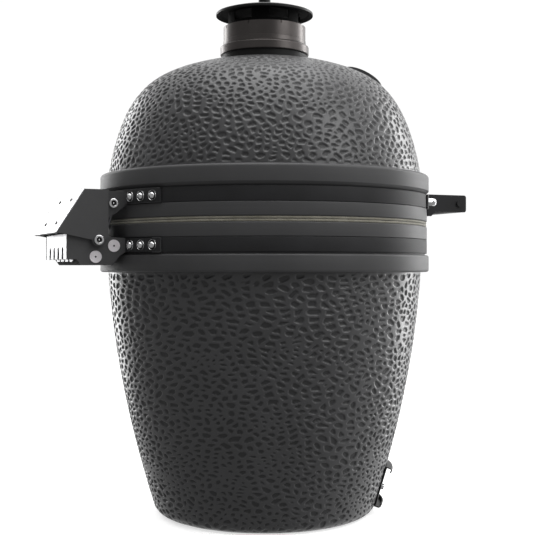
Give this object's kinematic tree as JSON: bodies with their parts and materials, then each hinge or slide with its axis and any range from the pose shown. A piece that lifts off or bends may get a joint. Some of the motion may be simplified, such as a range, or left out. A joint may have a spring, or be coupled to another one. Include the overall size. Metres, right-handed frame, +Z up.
{
  "type": "kamado ceramic grill",
  "caption": "Egg-shaped ceramic charcoal grill: pitted barrel, spring-hinged dome with rotary top vent, thermometer and bar handle, sliding draft door.",
  "frame": {"origin": "centre of the flat underside of the ceramic barrel, on the body's axis, at ground level", "axes": "+Z up along the body's axis; -Y forward, where the handle, the thermometer and the draft door are; +Y to the rear, where the lid's hinge is; +X completes the right-handed frame, on the right of someone who stands in front and looks at the grill"},
  "size_m": [0.54, 0.6836, 0.8487],
  "materials": {
    "pitted_ceramic": "dark grey glaze over a pitted, leathery relief",
    "fire_ceramic": "bare refractory ceramic",
    "gasket_felt": "grey-green felt",
    "black_steel": "satin black powder coat",
    "charcoal_steel": "satin charcoal powder coat",
    "bright_steel": "bright brushed stainless steel",
    "bolt_steel": "bright plated steel",
    "head_steel": "blasted stainless steel",
    "spring_steel": "oiled spring steel",
    "bush_brass": "plain",
    "handle_black": "satin black",
    "grate_iron": "bare cast iron",
    "grid_steel": "polished stainless wire",
    "seal_rubber": "matt black",
    "collar_metal": "dark bronze-brown enamel",
    "cap_metal": "satin black enamel",
    "dial_white": "matt white",
    "needle_red": "satin",
    "gauge_glass": "clear"
  },
  "bodies": {
    "base": {"base_shell": "pitted_ceramic", "base_gasket": "gasket_felt", "lower_band": "black_steel", "base_strap_bolts": "bolt_steel", "base_hinge_bracket": "charcoal_steel", "bracket_cross_rods": "head_steel", "spring_guard": "bright_steel", "hinge_pin": "bolt_steel", "draft_frame": "black_steel", "draft_frame_bolts": "bolt_steel", "firebox": "fire_ceramic", "fire_ring": "fire_ceramic"},
    "lid": {"dome_shell": "pitted_ceramic", "lid_gasket": "gasket_felt", "upper_band": "black_steel", "lid_strap_bolts": "bolt_steel", "lid_hinge_bracket": "charcoal_steel", "hinge_bushes": "bush_brass", "tie_rod": "bolt_steel", "hinge_cover": "charcoal_steel", "badge_plate": "bright_steel", "badge_screws": "bolt_steel", "torsion_spring_left": "spring_steel", "torsion_spring_right": "spring_steel", "handle_arm_left": "black_steel", "handle_arm_right": "black_steel", "handle_grip": "handle_black", "grip_screws": "bolt_steel", "handle_bolts": "bolt_steel", "vent_seal": "seal_rubber", "vent_collar": "collar_metal", "gauge_case": "black_steel", "gauge_dial": "dial_white", "gauge_lens": "gauge_glass", "gauge_bezel": "black_steel", "gauge_nut": "bolt_steel"},
    "vent_cap": {"vent_sleeve": "cap_metal", "rain_cap": "cap_metal", "cap_knob": "cap_metal"},
    "needle": {"gauge_needle": "needle_red"},
    "draft_door": {"draft_door": "black_steel", "draft_door_knob": "cap_metal"},
    "ember_screen": {"ember_screen": "bright_steel"},
    "cooking_grid": {"cooking_grid": "grid_steel"},
    "charcoal_grate": {"charcoal_grate": "grate_iron"}
  },
  "joints": [
    {"name": "lid_hinge", "type": "hinge", "parent": "base", "child": "lid", "pos_m": [0, 0.302, 0.443], "axis": [-1, 0, 0], "range_deg": [0, 60], "stiffness_Nm_per_rad": 25, "springref_deg": 68.75},
    {"name": "vent_turn", "type": "hinge", "parent": "lid", "child": "vent_cap", "pos_m": [0, 0, 0.8], "axis": [0, 0, 1], "range_deg": [0, 45]},
    {"name": "gauge_needle_turn", "type": "hinge", "parent": "lid", "child": "needle", "pos_m": [0, -0.174, 0.71075], "axis": [0, -0.4852, 0.8744], "range_deg": [-270, 0], "stiffness_Nm_per_rad": 0.01},
    {"name": "draft_door_slide", "type": "hinge", "parent": "base", "child": "draft_door", "pos_m": [0, 0, 0.048], "axis": [0, 0, -1], "range_deg": [0, 20.5]},
    {"name": "ember_screen_slide", "type": "hinge", "parent": "base", "child": "ember_screen", "pos_m": [0, 0, 0.048], "axis": [0, 0, 1], "range_deg": [0, 18]},
    {"name": "cooking_grid_lift", "type": "slide", "parent": "base", "child": "cooking_grid", "axis": [0, 0, 1], "range_m": [0, 0.09]},
    {"name": "charcoal_grate_lift", "type": "slide", "parent": "base", "child": "charcoal_grate", "axis": [0, 0, 1], "range_m": [0, 0.25]}
  ]
}
